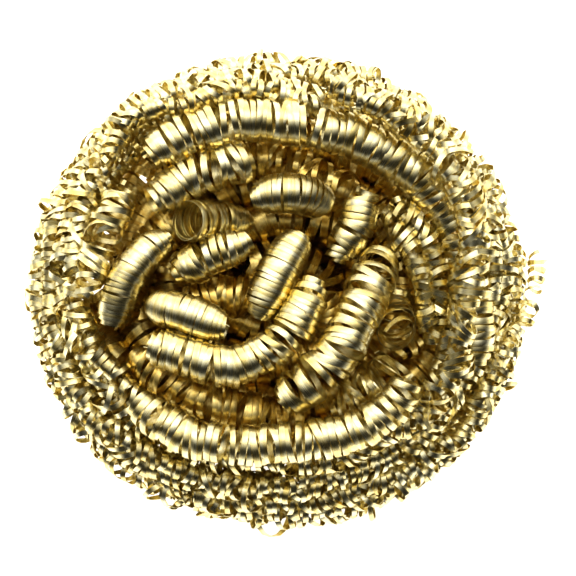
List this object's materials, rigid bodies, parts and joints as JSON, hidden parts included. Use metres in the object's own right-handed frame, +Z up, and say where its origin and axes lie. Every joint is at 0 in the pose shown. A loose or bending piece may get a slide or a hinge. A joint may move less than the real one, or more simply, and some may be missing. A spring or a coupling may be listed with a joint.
{
  "type": "tip cleaning brass",
  "caption": "Springy bun of curled brass ribbon coils, wound in layers and folded across the top, into which a hot soldering tip is pushed to wipe it clean.",
  "frame": {"origin": "on the surface the wad stands on, under the middle of its outline", "axes": "+Z up, +X along the wad's longest side, towards the loose end, +Y towards the back, where the top laps climb"},
  "size_m": [0.0562, 0.0514, 0.0321],
  "materials": {
    "bright_brass": "bright drawn ribbon, finely brushed along its length",
    "inner_brass": "bright drawn ribbon, deeper gold inside the wad"
  },
  "bodies": {
    "root": {"base_spiral": "inner_brass", "inner_spiral_1": "inner_brass", "inner_spiral_2": "inner_brass", "inner_spiral_3": "inner_brass", "inner_spiral_4": "inner_brass", "side_wrap_1": "bright_brass", "side_wrap_2": "bright_brass", "side_wrap_3": "bright_brass", "side_wrap_4": "bright_brass", "side_wrap_5": "bright_brass", "shoulder_wrap": "bright_brass", "under_back": "inner_brass", "under_right": "inner_brass", "under_front": "inner_brass", "under_hairpin": "inner_brass", "under_left": "inner_brass", "rim_arc_back": "bright_brass", "rim_arc_front": "bright_brass", "fold_back_left": "bright_brass", "fold_back_middle": "bright_brass", "fold_open_end": "bright_brass", "fold_left_middle": "bright_brass", "fold_centre": "bright_brass", "fold_left": "bright_brass", "fold_left_front": "bright_brass", "fold_front": "bright_brass", "fold_right": "bright_brass", "fold_right_middle": "bright_brass", "fold_right_shoulder": "bright_brass", "fold_upright_end": "bright_brass", "fold_open_coil": "bright_brass", "fold_far_left": "bright_brass", "loose_end": "bright_brass"}
  },
  "joints": []
}
